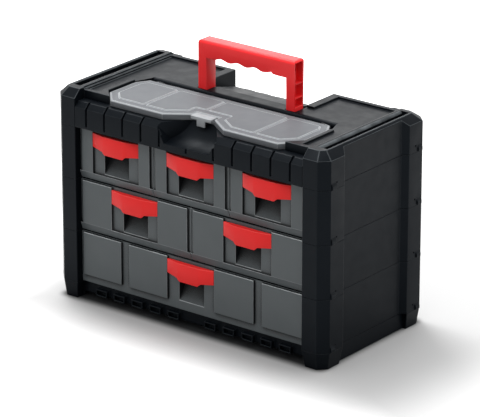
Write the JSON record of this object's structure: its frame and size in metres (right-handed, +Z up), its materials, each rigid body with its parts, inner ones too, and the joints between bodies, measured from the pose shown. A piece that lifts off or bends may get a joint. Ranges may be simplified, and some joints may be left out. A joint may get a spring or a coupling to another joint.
{
  "type": "organizer case",
  "caption": "Portable organizer case of stacked plastic modules with sliding drawers, a parts tray under a hinged clear lid with a latch, and a folding carry handle.",
  "frame": {"origin": "on the floor, in the middle of the footprint", "axes": "+X to the right seen from the front, +Y to the back, +Z up"},
  "size_m": [0.4032, 0.2, 0.3184],
  "materials": {
    "case_shell": "fine satin texture",
    "drawer_body": "fine satin texture",
    "red_plastic": "satin",
    "clear_lid": "milky translucent",
    "divider_plastic": "satin"
  },
  "bodies": {
    "case": {"base_frame": "case_shell", "lower_case": "case_shell", "middle_case": "case_shell", "upper_case": "case_shell", "top_case": "case_shell", "parts_tray": "case_shell"},
    "drawer_bottom": {"drawer_bottom": "drawer_body", "pull_bottom": "red_plastic", "divider_bottom_left": "divider_plastic", "divider_bottom_right": "divider_plastic"},
    "drawer_middle_left": {"drawer_middle_left": "drawer_body", "pull_middle_left": "red_plastic", "divider_middle_left": "divider_plastic"},
    "drawer_middle_right": {"drawer_middle_right": "drawer_body", "pull_middle_right": "red_plastic", "divider_middle_right": "divider_plastic"},
    "drawer_upper_left": {"drawer_upper_left": "drawer_body", "pull_upper_left": "red_plastic", "divider_upper_left": "divider_plastic"},
    "drawer_upper_centre": {"drawer_upper_centre": "drawer_body", "pull_upper_centre": "red_plastic", "divider_upper_centre": "divider_plastic"},
    "drawer_upper_right": {"drawer_upper_right": "drawer_body", "pull_upper_right": "red_plastic", "divider_upper_right": "divider_plastic"},
    "lid": {"tray_lid": "clear_lid"},
    "latch": {"lid_latch": "clear_lid"},
    "handle": {"carry_handle": "red_plastic"}
  },
  "joints": [
    {"name": "slide_bottom", "type": "slide", "parent": "case", "child": "drawer_bottom", "axis": [0, -1, 0], "range_m": [0, 0.14]},
    {"name": "slide_middle_left", "type": "slide", "parent": "case", "child": "drawer_middle_left", "axis": [0, -1, 0], "range_m": [0, 0.14]},
    {"name": "slide_middle_right", "type": "slide", "parent": "case", "child": "drawer_middle_right", "axis": [0, -1, 0], "range_m": [0, 0.14]},
    {"name": "slide_upper_left", "type": "slide", "parent": "case", "child": "drawer_upper_left", "axis": [0, -1, 0], "range_m": [0, 0.14]},
    {"name": "slide_upper_centre", "type": "slide", "parent": "case", "child": "drawer_upper_centre", "axis": [0, -1, 0], "range_m": [0, 0.14]},
    {"name": "slide_upper_right", "type": "slide", "parent": "case", "child": "drawer_upper_right", "axis": [0, -1, 0], "range_m": [0, 0.14]},
    {"name": "lid_hinge", "type": "hinge", "parent": "case", "child": "lid", "pos_m": [0, 0.0032, 0.2535], "axis": [-1, 0, 0], "range_deg": [0, 90]},
    {"name": "latch_hinge", "type": "hinge", "parent": "lid", "child": "latch", "pos_m": [0, -0.0625, 0.2555], "axis": [-1, 0, 0], "range_deg": [0, 40]},
    {"name": "handle_hinge", "type": "hinge", "parent": "case", "child": "handle", "pos_m": [0, 0.0213, 0.251], "axis": [-1, 0, 0], "range_deg": [0, 90]}
  ]
}
